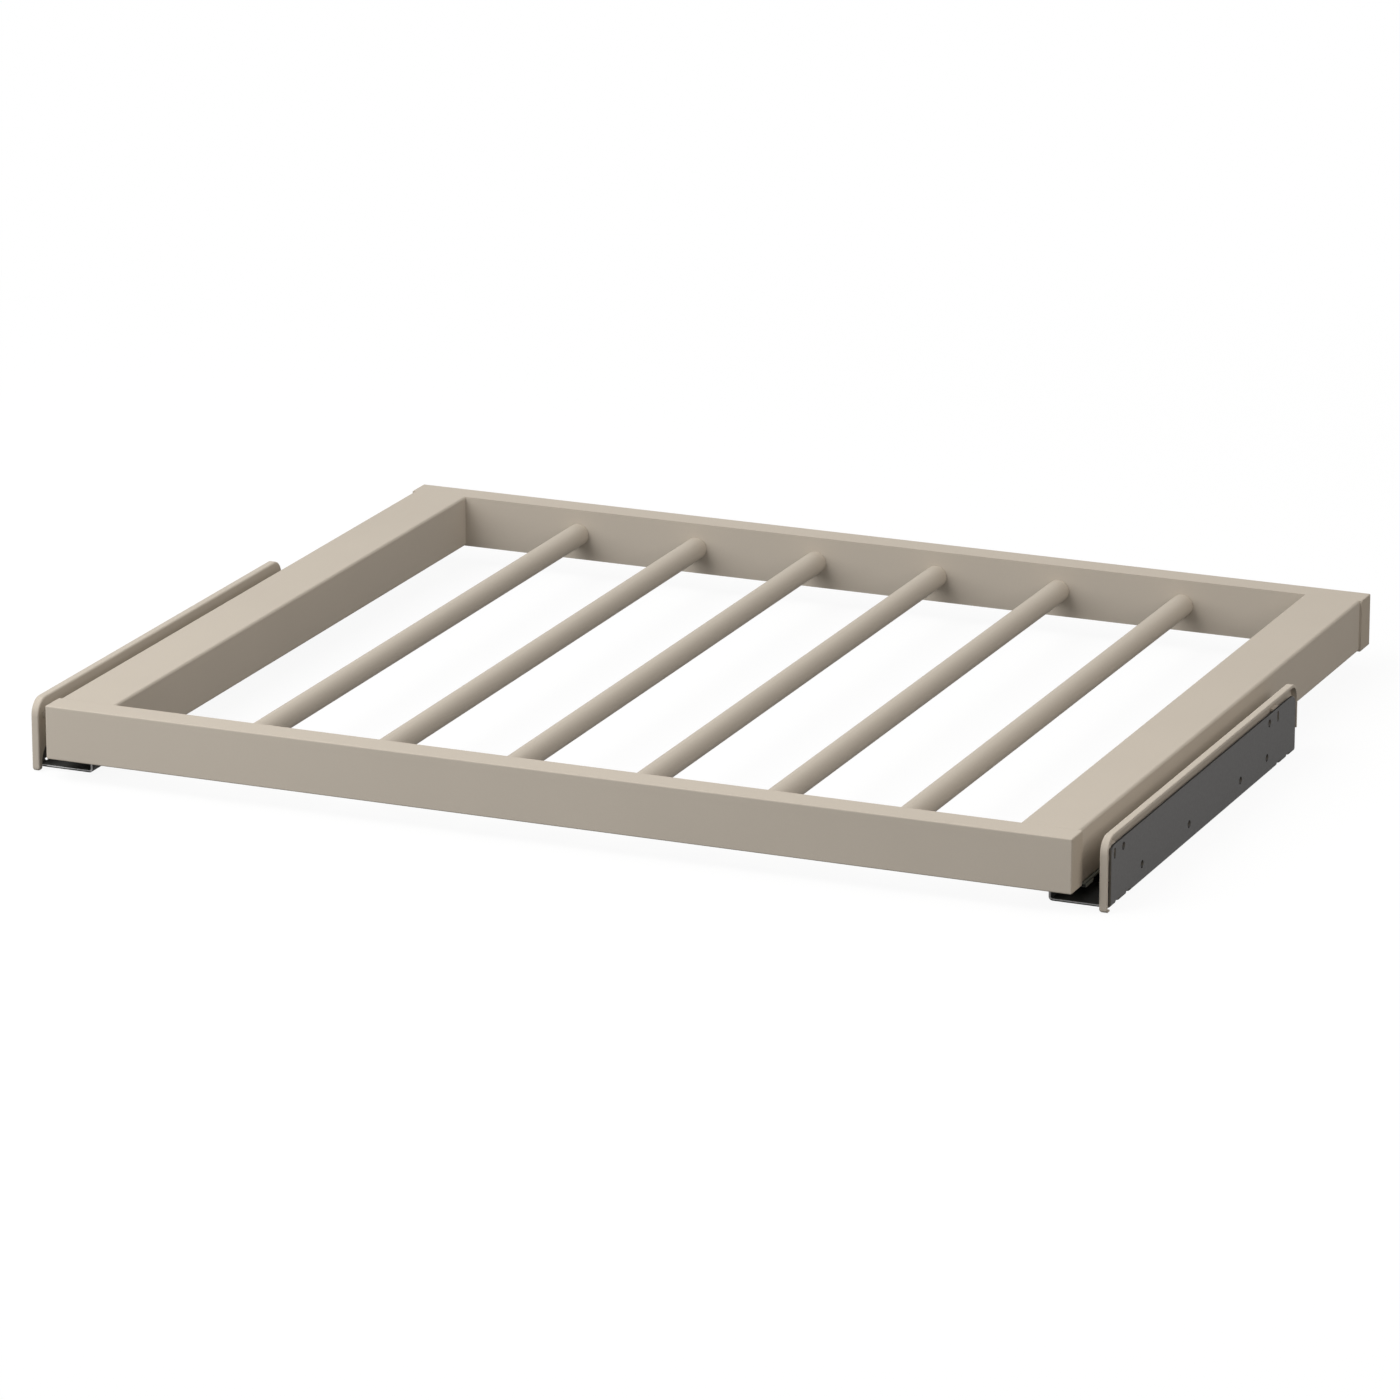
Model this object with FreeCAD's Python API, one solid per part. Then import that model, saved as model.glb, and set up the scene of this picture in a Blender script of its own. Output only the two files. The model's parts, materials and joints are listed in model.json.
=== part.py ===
"""Pull-out trouser rack: a wooden frame with six rods on two telescopic ball runners.

The row frame has +X to the right, -Y towards the person who pulls the rack out and +Z up.
The origin is at the middle of the footprint, at the height of the covers' lower lips.
Everything on the right side is built once and mirrored for the left side.
"""
import FreeCAD, Part
import math
import os

V = FreeCAD.Vector
os.makedirs("parts", exist_ok=True)

# ------------------------------------------------------------------ whole rack
OVERALL_WIDTH = 712.0      # over the outer faces of both wall brackets
FRAME_DEPTH = 555.0        # front face of the front rail to rear face of the back rail
BRACKET_GAP = 17.5         # rail end to the outer face of the bracket
RUNNER_HEIGHT = 10.8       # bracket flange to the underside of the wooden frame
RACK_TRAVEL = 280.0        # how far the rack pulls out

# ---------------------------------------------------------------- wooden frame
RAIL_HEIGHT = 34.5
RAIL_THICKNESS = 18.0      # front and back rails, front to back
RAIL_EDGE = 0.9            # rounding of the front and back rails, but not towards the side rails
RAIL_INNER_EDGE = 0.15     # rounding of their edges towards the side rails
SIDE_WIDTH = 38.0          # side rails, left to right
SIDE_INSET = 1.5           # how far a side rail lies inside the ends of the long rails
SIDE_EDGE = 1.8            # rounding of the long edges of the side rails

# ------------------------------------------------------------------------ rods
ROD_COUNT = 6
ROD_DIAMETER = 15.0
ROD_WALL = 1.2
ROD_END_SPACE = 83.5       # side rail to the axis of the first rod
ROD_SEAT = 10.0            # depth of the blind bore in each long rail
FIT = 0.05                 # radial play of a seated rod, dowel, bolt, nut or screw
HEAD_PLAY = 0.1            # radial play of a bolt head in its bore
END_PLAY = 0.3             # play at the bottom of a blind bore

# -------------------------------------------------------------- corner fittings
DOWEL_DIAMETER = 8.0
DOWEL_IN_RAIL = 12.0
DOWEL_IN_SIDE = 20.0
DOWEL_INSET = 10.0         # side rail's outer face to the dowel's axis
DOWEL_CHAMFER = 0.8
CAM_NUT_DIAMETER = 15.0
CAM_NUT_HEIGHT = 13.0
CAM_NUT_REACH = 24.0       # end of the side rail to the nut's axis
CAM_INSET = 10.0           # side rail's inner face to the nut's axis
CAM_AXIS_HEIGHT = 7.5      # underside of the frame to the bolt's axis
CAM_SLOT_LENGTH = 10.0
CAM_SLOT_WIDTH = 2.0
CAM_SLOT_DEPTH = 2.5
BOLT_THREAD_DIAMETER = 6.4
BOLT_THREAD_LENGTH = 11.0
BOLT_SHANK_DIAMETER = 5.0
BOLT_NECK_DIAMETER = 3.6
BOLT_NECK_LENGTH = 4.0
BOLT_HEAD_DIAMETER = 6.4
BOLT_HEAD_LENGTH = 3.0

# ----------------------------------------------------------------- wall bracket
BRACKET_SHEET = 1.5
BEND_RADIUS = 1.0          # inside of each bend
SHEET_EDGE = 0.3           # rounding of the sheet's cut front and rear ends
BRACKET_LENGTH = 334.5     # front to rear
BRACKET_HEIGHT = 38.1      # upright plate, from the underside of the flange
BRACKET_SETBACK = 20.0     # front face of the frame to the front edge of the bracket
FLANGE_REACH = 21.7        # how far the flange reaches under the frame from the rail end
LIP_HEIGHT = 8.3           # from the underside of the flange
PLATE_FRONT_CORNER = 5.0
PLATE_REAR_CORNER = 8.0
SCREW_HOLE_DIAMETER = 5.0
UPPER_ROW_HEIGHT = 32.7    # centres of the upper holes and slots, above the flange's underside
LOWER_ROW_HEIGHT = 11.2
UPPER_HOLE_INSETS = (20.7, 50.1)       # from the plate's front edge and rear edge
LOWER_OUTER_HOLE_INSET = 53.7          # the same from both edges
LOWER_INNER_HOLE_INSETS = (137.0, 103.5)
PEG_SLOT_INSETS = (5.6, 34.0)          # slots for the cover's pegs, from front and rear edge
PEG_SLOT_WIDTH = 3.0
PEG_SLOT_HEIGHT = 6.8
NOTCH_INSETS = (12.4, 30.5)            # notches through the bend, the same from both edges
NOTCH_WIDTH = 7.8

# ------------------------------------------------------------------------ cover
COVER_DEPTH = 5.1          # frame-side face to the rim's edge
COVER_RECESS = 0.3         # rim's edge to the plate's outer face
COVER_WALL = 1.8           # rim around the front, the top and the rear
COVER_WEB = 1.5            # the broad face
COVER_FRONT_GAP = 4.4      # plate edges to the inside of the rim
COVER_TOP_GAP = 5.0
COVER_REAR_GAP = 2.8
COVER_CORNER = 10.5        # outside radius of both top corners
COVER_EDGE = 1.3           # rounding towards the frame
COVER_RIM_EDGE = 0.6       # rounding of the rim towards the wall
COVER_OPEN_LEVEL = 2.5     # lower edge of the broad face, above the underside of the frame
COVER_OPEN_CORNER = 12.0
COVER_FOOT = 3.5           # width of the broad face beside the front edge, at the bottom
COVER_FOOT_EDGE = 2.0      # rounding of the foot's lower edge towards the frame
COVER_LIP = 1.0            # thickness of the small lip at the very bottom
COVER_LIP_GAP = 0.4        # lip to the underside of the flange
COVER_LIP_PLAY = 0.9       # lip to the front edge of the bracket
COVER_ROOT = 0.6           # how far pegs, ribs and pips run into the broad face behind them
PEG_WIDTH = 2.6
PEG_HEIGHT = 3.8
PEG_RECESS = 0.9           # plate's outer face to the end of a peg
PEG_PLAY = 0.2             # top of a peg to the top of its slot
RIB_LENGTH = 10.0          # ribs that hold the broad face off the plate's upper edge
RIB_DROP = 1.2             # rib's lower edge below the plate's upper edge
RIB_RISE = 0.9             # rib above the plate's upper edge, at the broad face
RIB_TIP = 0.3              # rib above the plate's upper edge, at the plate
RIB_PLAY = 0.1
PIP_WIDTH = 2.4            # raised pip on the frame side of the cover, in front of each peg
PIP_HEIGHT = 4.0
PIP_RISE = 1.1
PIP_LEAD = 5.0             # peg's middle to the pip's middle

# ----------------------------------------------------------------- ball runner
SLIDE_SETBACK = 39.8       # front edge of the bracket to the front end of the channels
CHANNEL_PLAY = 0.1         # side play of the fixed channel on the flange's flat
BALL_DIAMETER = 3.0
BALL_PLAY = 0.05
BALL_PITCH = 14.0
ROW_GAP = 1.4              # space between two neighbouring legs, where a row of balls runs
RACE_WALL = 0.95           # steel left behind a race
RACE_CORE = 0.7            # steel left between the two races of the middle channel
FIXED_WEB = 1.0
MIDDLE_WEB = 0.8
INNER_WEB = 1.0
WEB_PLAY = 0.3             # between the webs of the fixed and the middle channel
LEG_PLAY = 0.4             # between the inner channel's legs and the middle channel's web
LEG_DROP = 1.0             # how far the fixed legs stay below the strip
MIDDLE_DROP = 1.3          # how far the middle legs stay below the strip
CAGE_THICKNESS = 0.8
CAGE_RIM = 0.6             # cage material above and below a ball
CAGE_MARGIN = 2.0
POCKET_PLAY = 0.1
STOP_THICKNESS = 1.2
STOP_WIDTH = 3.2
STOP_LANE = 4.0            # stops lie this far left and right of the runner's middle
STOP_INSET = 8.0           # front end of the fixed channel to its stop
STOP_PLAY = 0.3
BUFFER_LENGTH = 4.0
BUFFER_PLAY = 0.3

# ------------------------------------------- strip, clip, rivets and wood screws
STRIP_THICKNESS = 1.2
STRIP_SETBACK = 25.0       # front face of the frame to the front end of the strip
STRIP_OVERHANG = 1.0       # how far the strip shows past the side rail
STRIP_LIP_GAP = 2.9        # bracket lip to the inner edge of the strip
CLIP_LENGTH = 13.0
CLIP_SETBACK = 1.0         # front end of the strip to the front of the clip
CLIP_THICKNESS = 1.4
CLIP_TAB_DROP = 0.8
CLIP_TAB_WIDTH = 3.0
CLIP_TAB_LENGTH = 12.0
RIVET_DIAMETER = 4.0
RIVET_HEAD_DIAMETER = 6.4
RIVET_HEAD_HEIGHT = 0.8
RIVET_INSET = 30.0         # ends of the channel to the first and last rivet
RIVET_COUNT = 3
SCREW_DIAMETER = 3.5
SCREW_LENGTH = 13.0
SCREW_HEAD_DIAMETER = 6.4
SCREW_TIP = 3.0
SCREW_POINT_DIAMETER = 0.9
SCREW_EDGE = 4.5           # inner edge of the strip to the screws' axes
SCREW_SPACING = 110.0
STRIP_SCREW_COUNT = 3      # besides the one through the clip
CROSS_WIDTH = 1.0
CROSS_LENGTH = 3.6
CROSS_DEPTH = 1.1

# --------------------------------------------------------------- derived places
wall_x = OVERALL_WIDTH / 2
rail_end = wall_x - BRACKET_GAP
side_outer = rail_end - SIDE_INSET
side_inner = side_outer - SIDE_WIDTH
front_y = -FRAME_DEPTH / 2
back_y = FRAME_DEPTH / 2
side_front = front_y + RAIL_THICKNESS
side_back = back_y - RAIL_THICKNESS

flange_bottom = COVER_LIP + COVER_LIP_GAP
flange_top = flange_bottom + BRACKET_SHEET
frame_bottom = flange_top + RUNNER_HEIGHT
frame_top = frame_bottom + RAIL_HEIGHT
rod_z = (frame_bottom + frame_top) / 2

plate_inner = wall_x - BRACKET_SHEET
plate_front = front_y + BRACKET_SETBACK
plate_rear = plate_front + BRACKET_LENGTH
plate_top = flange_bottom + BRACKET_HEIGHT
lip_outer = rail_end - FLANGE_REACH
lip_inner = lip_outer + BRACKET_SHEET
bend_outside = BEND_RADIUS + BRACKET_SHEET
upper_row = flange_bottom + UPPER_ROW_HEIGHT
lower_row = flange_bottom + LOWER_ROW_HEIGHT
peg_z = upper_row + (PEG_SLOT_HEIGHT - PEG_HEIGHT) / 2 - PEG_PLAY

cover_rim = wall_x - COVER_RECESS
cover_face = cover_rim - COVER_DEPTH
cover_back = cover_face + COVER_WEB
cover_front = plate_front - COVER_FRONT_GAP - COVER_WALL
cover_rear = plate_rear + COVER_REAR_GAP + COVER_WALL
cover_top = plate_top + COVER_TOP_GAP + COVER_WALL
cover_open = frame_bottom + COVER_OPEN_LEVEL

runner_x = (lip_inner + plate_inner) / 2
race_radius = BALL_DIAMETER / 2 + BALL_PLAY
race_depth = race_radius - ROW_GAP / 2
leg = race_depth + RACE_WALL
middle_leg = 2 * race_depth + RACE_CORE
fixed_half = (plate_inner - lip_inner) / 2 - BEND_RADIUS - CHANNEL_PLAY
outer_row = fixed_half - leg - ROW_GAP / 2
middle_half = fixed_half - leg - ROW_GAP
inner_row = middle_half - middle_leg - ROW_GAP / 2
inner_half = middle_half - middle_leg - ROW_GAP

slide_front = plate_front + SLIDE_SETBACK
slide_rear = plate_rear - BUFFER_LENGTH - BUFFER_PLAY
slide_length = slide_rear - slide_front
middle_travel = RACK_TRAVEL / 2
strip_bottom = frame_bottom - STRIP_THICKNESS
middle_web_bottom = flange_top + FIXED_WEB + WEB_PLAY
middle_web_top = middle_web_bottom + MIDDLE_WEB
inner_web_bottom = strip_bottom - INNER_WEB
ball_z = (middle_web_top + inner_web_bottom) / 2
cage_front = slide_front + middle_travel / 2 + CAGE_MARGIN
cage_length = slide_length - middle_travel - 2 * CAGE_MARGIN

strip_front = front_y + STRIP_SETBACK
strip_inner = lip_inner + STRIP_LIP_GAP
strip_outer = side_outer + STRIP_OVERHANG
rivet_x = (runner_x - inner_half + leg + strip_outer) / 2
screw_x = strip_inner + SCREW_EDGE


# ---------------------------------------------------------------------- helpers
PARALLEL = 0.999           # cosine from which an edge counts as parallel to an axis
NEAR = 0.05                # edges this close to a place count as lying there


def box(x0, x1, y0, y1, z0, z1):
    """Box between two corners."""
    return Part.makeBox(x1 - x0, y1 - y0, z1 - z0, V(x0, y0, z0))


def cylinder(radius, start, axis, length):
    return Part.makeCylinder(radius, length, start, axis)


def oblong(x0, x1, y, z, width, height):
    """Upright bar along X with round ends."""
    radius = width / 2
    straight = height / 2 - radius
    ends = [cylinder(radius, V(x0, y, z + end), V(1, 0, 0), x1 - x0)
            for end in (-straight, straight)]
    return box(x0, x1, y - radius, y + radius, z - straight, z + straight).fuse(ends)


def outline(corners):
    """Closed wire through corners given as (point, radius); a radius rounds its corner."""
    edges = []
    starts, ends = [], []
    for i, (point, radius) in enumerate(corners):
        before = (corners[i - 1][0] - point).normalize()
        after = (corners[(i + 1) % len(corners)][0] - point).normalize()
        if radius == 0:
            starts.append(point)
            ends.append(point)
            continue
        half_angle = before.getAngle(after) / 2
        reach = radius / math.tan(half_angle)
        first, last = point + before * reach, point + after * reach
        centre = point + (before + after).normalize() * (radius / math.sin(half_angle))
        middle = centre + (point - centre).normalize() * radius
        edges.append((i, Part.Arc(first, middle, last).toShape()))
        starts.append(first)
        ends.append(last)
    arcs = dict(edges)
    loop = []
    for i in range(len(corners)):
        if i in arcs:
            loop.append(arcs[i])
        loop.append(Part.makeLine(ends[i], starts[(i + 1) % len(corners)]))
    return Part.Wire(loop)


def extrude(corners, direction):
    return Part.Face(outline(corners)).extrude(direction)


def edges_along(shape, axis, keep):
    """Straight edges of a shape that run along an axis and pass the test keep(middle)."""
    found = []
    for edge in shape.Edges:
        if not isinstance(edge.Curve, Part.Line):
            continue
        along = edge.Vertexes[-1].Point - edge.Vertexes[0].Point
        if abs(along.normalize().dot(axis)) > PARALLEL and keep(edge.CenterOfMass):
            found.append(edge)
    return found


def mirrored(shape):
    """The same piece for the left side."""
    return shape.mirror(V(0, 0, 0), V(1, 0, 0))


def all_corners(right_front):
    """Copies of a piece of the right front corner for all four corners."""
    right_back = right_front.mirror(V(0, 0, 0), V(0, 1, 0))
    right = [right_front, right_back]
    return right + [mirrored(piece) for piece in right]


def save(name, shapes):
    """Write one node, made of one solid or of a group of separate solids."""
    solids = [solid for shape in shapes for solid in shape.Solids]
    for solid in solids:
        if not solid.isValid() or solid.Volume <= 0:
            raise ValueError("bad solid in " + name)
    node = solids[0] if len(solids) == 1 else Part.makeCompound(solids)
    node.exportStep("parts/" + name + ".step")
    print(name, len(solids), round(sum(s.Volume for s in solids) / 1000, 2), "cm3")


def save_pair(name, right_shapes):
    save("right_" + name, right_shapes)
    save("left_" + name, [mirrored(shape) for shape in right_shapes])


# ----------------------------------------------------------------- wooden frame
def rod_positions():
    pitch = (2 * side_inner - 2 * ROD_END_SPACE) / (ROD_COUNT - 1)
    return [(i - (ROD_COUNT - 1) / 2) * pitch for i in range(ROD_COUNT)]


def dowel_axis():
    return side_outer - DOWEL_INSET, rod_z


def cam_axis():
    return side_inner + CAM_INSET, frame_bottom + CAM_AXIS_HEIGHT


def front_rail():
    rail = box(-rail_end, rail_end, front_y, side_front, frame_bottom, frame_top)
    outer = [edge for edge in rail.Edges if edge.CenterOfMass.y < side_front - NEAR]
    rail = rail.makeFillet(RAIL_EDGE, outer)
    inner = [edge for edge in rail.Edges if edge.BoundBox.YMin > side_front - NEAR]
    rail = rail.makeFillet(RAIL_INNER_EDGE, inner)
    inside = V(0, -1, 0)
    bores = []
    for x in rod_positions():
        bores.append(cylinder(ROD_DIAMETER / 2 + FIT, V(x, side_front, rod_z), inside, ROD_SEAT))
    dowel_x, dowel_z = dowel_axis()
    cam_x, cam_z = cam_axis()
    for sign in (-1, 1):
        bores.append(cylinder(DOWEL_DIAMETER / 2 + FIT, V(sign * dowel_x, side_front, dowel_z),
                              inside, DOWEL_IN_RAIL + END_PLAY))
        bores.append(cylinder(BOLT_THREAD_DIAMETER / 2 + FIT, V(sign * cam_x, side_front, cam_z),
                              inside, BOLT_THREAD_LENGTH + END_PLAY))
    return rail.cut(bores)


def rod(x):
    length = FRAME_DEPTH - 2 * RAIL_THICKNESS + 2 * (ROD_SEAT - END_PLAY)
    start = V(x, -length / 2, rod_z)
    outside = cylinder(ROD_DIAMETER / 2, start, V(0, 1, 0), length)
    return outside.cut(cylinder(ROD_DIAMETER / 2 - ROD_WALL, start, V(0, 1, 0), length))


def dowel():
    x, z = dowel_axis()
    length = DOWEL_IN_RAIL + DOWEL_IN_SIDE
    pin = cylinder(DOWEL_DIAMETER / 2, V(x, side_front - DOWEL_IN_RAIL, z), V(0, 1, 0), length)
    rims = [edge for edge in pin.Edges if isinstance(edge.Curve, Part.Circle)]
    return pin.makeChamfer(DOWEL_CHAMFER, rims)


def cam_bolt():
    """Threaded end in the long rail, then shank, neck and head, which the nut pulls on."""
    x, z = cam_axis()
    head_end = CAM_NUT_REACH + BOLT_HEAD_LENGTH / 2
    neck_start = head_end - BOLT_HEAD_LENGTH - BOLT_NECK_LENGTH
    steps = [(BOLT_THREAD_DIAMETER, -BOLT_THREAD_LENGTH, 0),
             (BOLT_SHANK_DIAMETER, 0, neck_start),
             (BOLT_NECK_DIAMETER, neck_start, neck_start + BOLT_NECK_LENGTH),
             (BOLT_HEAD_DIAMETER, head_end - BOLT_HEAD_LENGTH, head_end)]
    pieces = [cylinder(size / 2, V(x, side_front + start, z), V(0, 1, 0), end - start)
              for size, start, end in steps]
    return pieces[0].fuse(pieces[1:])


def cam_nut():
    """Round nut with a keyhole mouth for the bolt's head and a slot for the driver."""
    x, z = cam_axis()
    y = side_front + CAM_NUT_REACH
    mouth = BOLT_HEAD_DIAMETER / 2 + HEAD_PLAY
    nut = cylinder(CAM_NUT_DIAMETER / 2, V(x, y, frame_bottom), V(0, 0, 1), CAM_NUT_HEIGHT)
    throat = cylinder(mouth, V(x, y - CAM_NUT_DIAMETER, z), V(0, 1, 0),
                      CAM_NUT_DIAMETER + BOLT_HEAD_LENGTH)
    slot = box(x - CAM_SLOT_LENGTH / 2, x + CAM_SLOT_LENGTH / 2,
               y - CAM_SLOT_WIDTH / 2, y + CAM_SLOT_WIDTH / 2,
               frame_bottom, frame_bottom + CAM_SLOT_DEPTH)
    return nut.cut([throat, slot])


def screw_places():
    """Places of the wood screws: those through the strip, then the one through the clip."""
    middle_y = (strip_front + slide_rear) / 2
    first_y = middle_y - (STRIP_SCREW_COUNT - 1) / 2 * SCREW_SPACING
    strip = [(screw_x, first_y + i * SCREW_SPACING, strip_bottom) for i in range(STRIP_SCREW_COUNT)]
    clip_y = strip_front + CLIP_SETBACK + CLIP_LENGTH / 2
    return strip + [(screw_x, clip_y, strip_bottom - CLIP_THICKNESS)]


def side_rail():
    rail = box(side_inner, side_outer, side_front, side_back, frame_bottom, frame_top)
    rail = rail.makeFillet(SIDE_EDGE, edges_along(rail, V(0, 1, 0), lambda middle: True))
    dowel_x, dowel_z = dowel_axis()
    cam_x, cam_z = cam_axis()
    front_cuts = [
        cylinder(DOWEL_DIAMETER / 2 + FIT, V(dowel_x, side_front, dowel_z), V(0, 1, 0),
                 DOWEL_IN_SIDE + END_PLAY),
        cylinder(BOLT_HEAD_DIAMETER / 2 + HEAD_PLAY, V(cam_x, side_front, cam_z), V(0, 1, 0),
                 CAM_NUT_REACH + BOLT_HEAD_LENGTH),
        cylinder(CAM_NUT_DIAMETER / 2 + FIT, V(cam_x, side_front + CAM_NUT_REACH, frame_bottom),
                 V(0, 0, 1), CAM_NUT_HEIGHT + END_PLAY)]
    back_cuts = [cut.mirror(V(0, 0, 0), V(0, 1, 0)) for cut in front_cuts]
    pilots = [screw(x, y, z, FIT) for x, y, z in screw_places()]
    return rail.cut(front_cuts + back_cuts + pilots)


# ---------------------------------------------------------------------- fasteners
def screw(x, y, z, extra=0.0):
    """Countersunk wood screw, driven upwards from z; extra widens it into its own hole."""
    radius = SCREW_DIAMETER / 2 + extra
    head = SCREW_HEAD_DIAMETER / 2 + extra
    cone = Part.makeCone(head, radius, head - radius, V(x, y, z), V(0, 0, 1))
    shank = cylinder(radius, V(x, y, z), V(0, 0, 1), SCREW_LENGTH - SCREW_TIP)
    tip = Part.makeCone(radius, SCREW_POINT_DIAMETER / 2, SCREW_TIP + extra,
                        V(x, y, z + SCREW_LENGTH - SCREW_TIP), V(0, 0, 1))
    return cone.fuse([shank, tip])


def crossed_screw(x, y, z):
    """The screw with its cross recess."""
    long, short = CROSS_LENGTH / 2, CROSS_WIDTH / 2
    cross = [box(x - long, x + long, y - short, y + short, z, z + CROSS_DEPTH),
             box(x - short, x + short, y - long, y + long, z, z + CROSS_DEPTH)]
    return screw(x, y, z).cut(cross)


def rivet(x, y, head_z, far_z):
    """Rivet from a low head that hangs below head_z up to a countersunk end, flush at far_z."""
    shank = cylinder(RIVET_DIAMETER / 2, V(x, y, head_z), V(0, 0, 1), far_z - head_z)
    head = Part.makeCone(RIVET_HEAD_DIAMETER / 2 - RIVET_HEAD_HEIGHT, RIVET_HEAD_DIAMETER / 2,
                         RIVET_HEAD_HEIGHT, V(x, y, head_z - RIVET_HEAD_HEIGHT), V(0, 0, 1))
    return shank.fuse(head)


def rivet_rows(x):
    """Rivet places along the channels, evenly spaced between the two end insets."""
    span = slide_length - 2 * RIVET_INSET
    step = span / (RIVET_COUNT - 1)
    return [(x, slide_front + RIVET_INSET + i * step) for i in range(RIVET_COUNT)]


def rivet_holes(places, z0, z1):
    return [cylinder(RIVET_DIAMETER / 2 + FIT, V(x, y, z0), V(0, 0, 1), z1 - z0) for x, y in places]


# ------------------------------------------------------------------- wall bracket
def wall_bracket():
    """Sheet folded into an upright plate, a flange under the runner and an upturned lip."""
    lip_top = flange_bottom + LIP_HEIGHT
    y = plate_front
    profile = [(V(lip_outer, y, lip_top), 0), (V(lip_outer, y, flange_bottom), bend_outside),
               (V(wall_x, y, flange_bottom), bend_outside), (V(wall_x, y, plate_top), 0),
               (V(plate_inner, y, plate_top), 0), (V(plate_inner, y, flange_top), BEND_RADIUS),
               (V(lip_inner, y, flange_top), BEND_RADIUS), (V(lip_inner, y, lip_top), 0)]
    sheet = extrude(profile, V(0, BRACKET_LENGTH, 0))
    for end_y, radius in ((plate_front, PLATE_FRONT_CORNER), (plate_rear, PLATE_REAR_CORNER)):
        corner = edges_along(sheet, V(1, 0, 0), lambda middle: middle.z > plate_top - NEAR
                             and abs(middle.y - end_y) < NEAR)
        sheet = sheet.makeFillet(radius, corner)
    ends = [edge for edge in sheet.Edges
            if edge.BoundBox.YMax < plate_front + NEAR or edge.BoundBox.YMin > plate_rear - NEAR]
    sheet = sheet.makeFillet(SHEET_EDGE, ends)
    return sheet.cut(screw_holes() + [peg_slot(y) for y in peg_positions()] + bend_notches())


def screw_holes():
    upper_front, upper_rear = UPPER_HOLE_INSETS
    inner_front, inner_rear = LOWER_INNER_HOLE_INSETS
    places = [(plate_front + upper_front, upper_row), (plate_rear - upper_rear, upper_row),
              (plate_front + LOWER_OUTER_HOLE_INSET, lower_row),
              (plate_rear - LOWER_OUTER_HOLE_INSET, lower_row),
              (plate_front + inner_front, lower_row), (plate_rear - inner_rear, lower_row)]
    return [cylinder(SCREW_HOLE_DIAMETER / 2, V(plate_inner, y, z), V(1, 0, 0), BRACKET_SHEET)
            for y, z in places]


def peg_positions():
    front_inset, rear_inset = PEG_SLOT_INSETS
    return [plate_front + front_inset, plate_rear - rear_inset]


def peg_slot(y):
    return oblong(plate_inner, wall_x, y, upper_row, PEG_SLOT_WIDTH, PEG_SLOT_HEIGHT)


def bend_notches():
    """Notches that leave two short tabs of the bend near each end of the bracket."""
    middles = [plate_front + inset for inset in NOTCH_INSETS]
    middles += [plate_rear - inset for inset in NOTCH_INSETS]
    return [box(wall_x - bend_outside, wall_x, y - NOTCH_WIDTH / 2, y + NOTCH_WIDTH / 2,
                flange_bottom, flange_bottom + bend_outside) for y in middles]


# -------------------------------------------------------------------------- cover
def cover():
    """Moulded tray: a broad face, and a rim around the front, the top and the rear."""
    x = cover_face
    foot = cover_front + COVER_FOOT
    shell = [(V(x, cover_front, 0), 0), (V(x, cover_front, cover_top), COVER_CORNER),
             (V(x, cover_rear, cover_top), COVER_CORNER), (V(x, cover_rear, cover_open), 0),
             (V(x, foot, cover_open), COVER_OPEN_CORNER), (V(x, foot, 0), 0)]
    tray = extrude(shell, V(COVER_DEPTH, 0, 0))
    tray = tray.makeFillet(COVER_EDGE, rim_edges(tray, x))
    tray = tray.makeFillet(COVER_RIM_EDGE, rim_edges(tray, cover_rim))
    tray = tray.makeFillet(COVER_FOOT_EDGE, foot_edges(tray))

    inner_corner = COVER_CORNER - COVER_WALL
    x = cover_back
    hollow = [(V(x, cover_front + COVER_WALL, -COVER_WALL), 0),
              (V(x, cover_front + COVER_WALL, cover_top - COVER_WALL), inner_corner),
              (V(x, cover_rear - COVER_WALL, cover_top - COVER_WALL), inner_corner),
              (V(x, cover_rear - COVER_WALL, -COVER_WALL), 0)]
    tray = tray.cut(extrude(hollow, V(COVER_DEPTH, 0, 0)))

    extras = [box(cover_back, cover_rim, cover_front + COVER_WALL, plate_front - COVER_LIP_PLAY,
                  0, COVER_LIP)]
    for y in peg_positions():
        extras += [peg(y), rib(y), pip(y)]
    return tray.fuse(extras).removeSplitter()


def rim_edges(tray, x):
    """Edges of the tray's face at x along the front, the top and the rear."""
    edges = []
    for edge in tray.Edges:
        flat = all(abs(vertex.X - x) < NEAR for vertex in edge.Vertexes)
        middle = edge.valueAt((edge.FirstParameter + edge.LastParameter) / 2)
        on_front = abs(middle.y - cover_front) < COVER_CORNER / 2
        on_top = middle.z > cover_top - COVER_CORNER / 2
        on_rear = abs(middle.y - cover_rear) < NEAR and middle.z > cover_open
        upright = abs(edge.Vertexes[0].Z - edge.Vertexes[-1].Z) > COVER_EDGE
        in_foot = middle.y > cover_front + NEAR and middle.z < cover_open + COVER_OPEN_CORNER
        if flat and not in_foot and (on_top or on_rear or (on_front and upright)):
            edges.append(edge)
    return edges


def foot_edges(tray):
    """The foot's lower edge from front to rear, on the side towards the frame."""
    return edges_along(tray, V(0, 1, 0), lambda middle: middle.z < NEAR and middle.x < cover_back)


def peg(y):
    """Peg that clips into the upper half of its slot in the plate."""
    return oblong(cover_back - COVER_ROOT, wall_x - PEG_RECESS, y, peg_z, PEG_WIDTH, PEG_HEIGHT)


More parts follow.
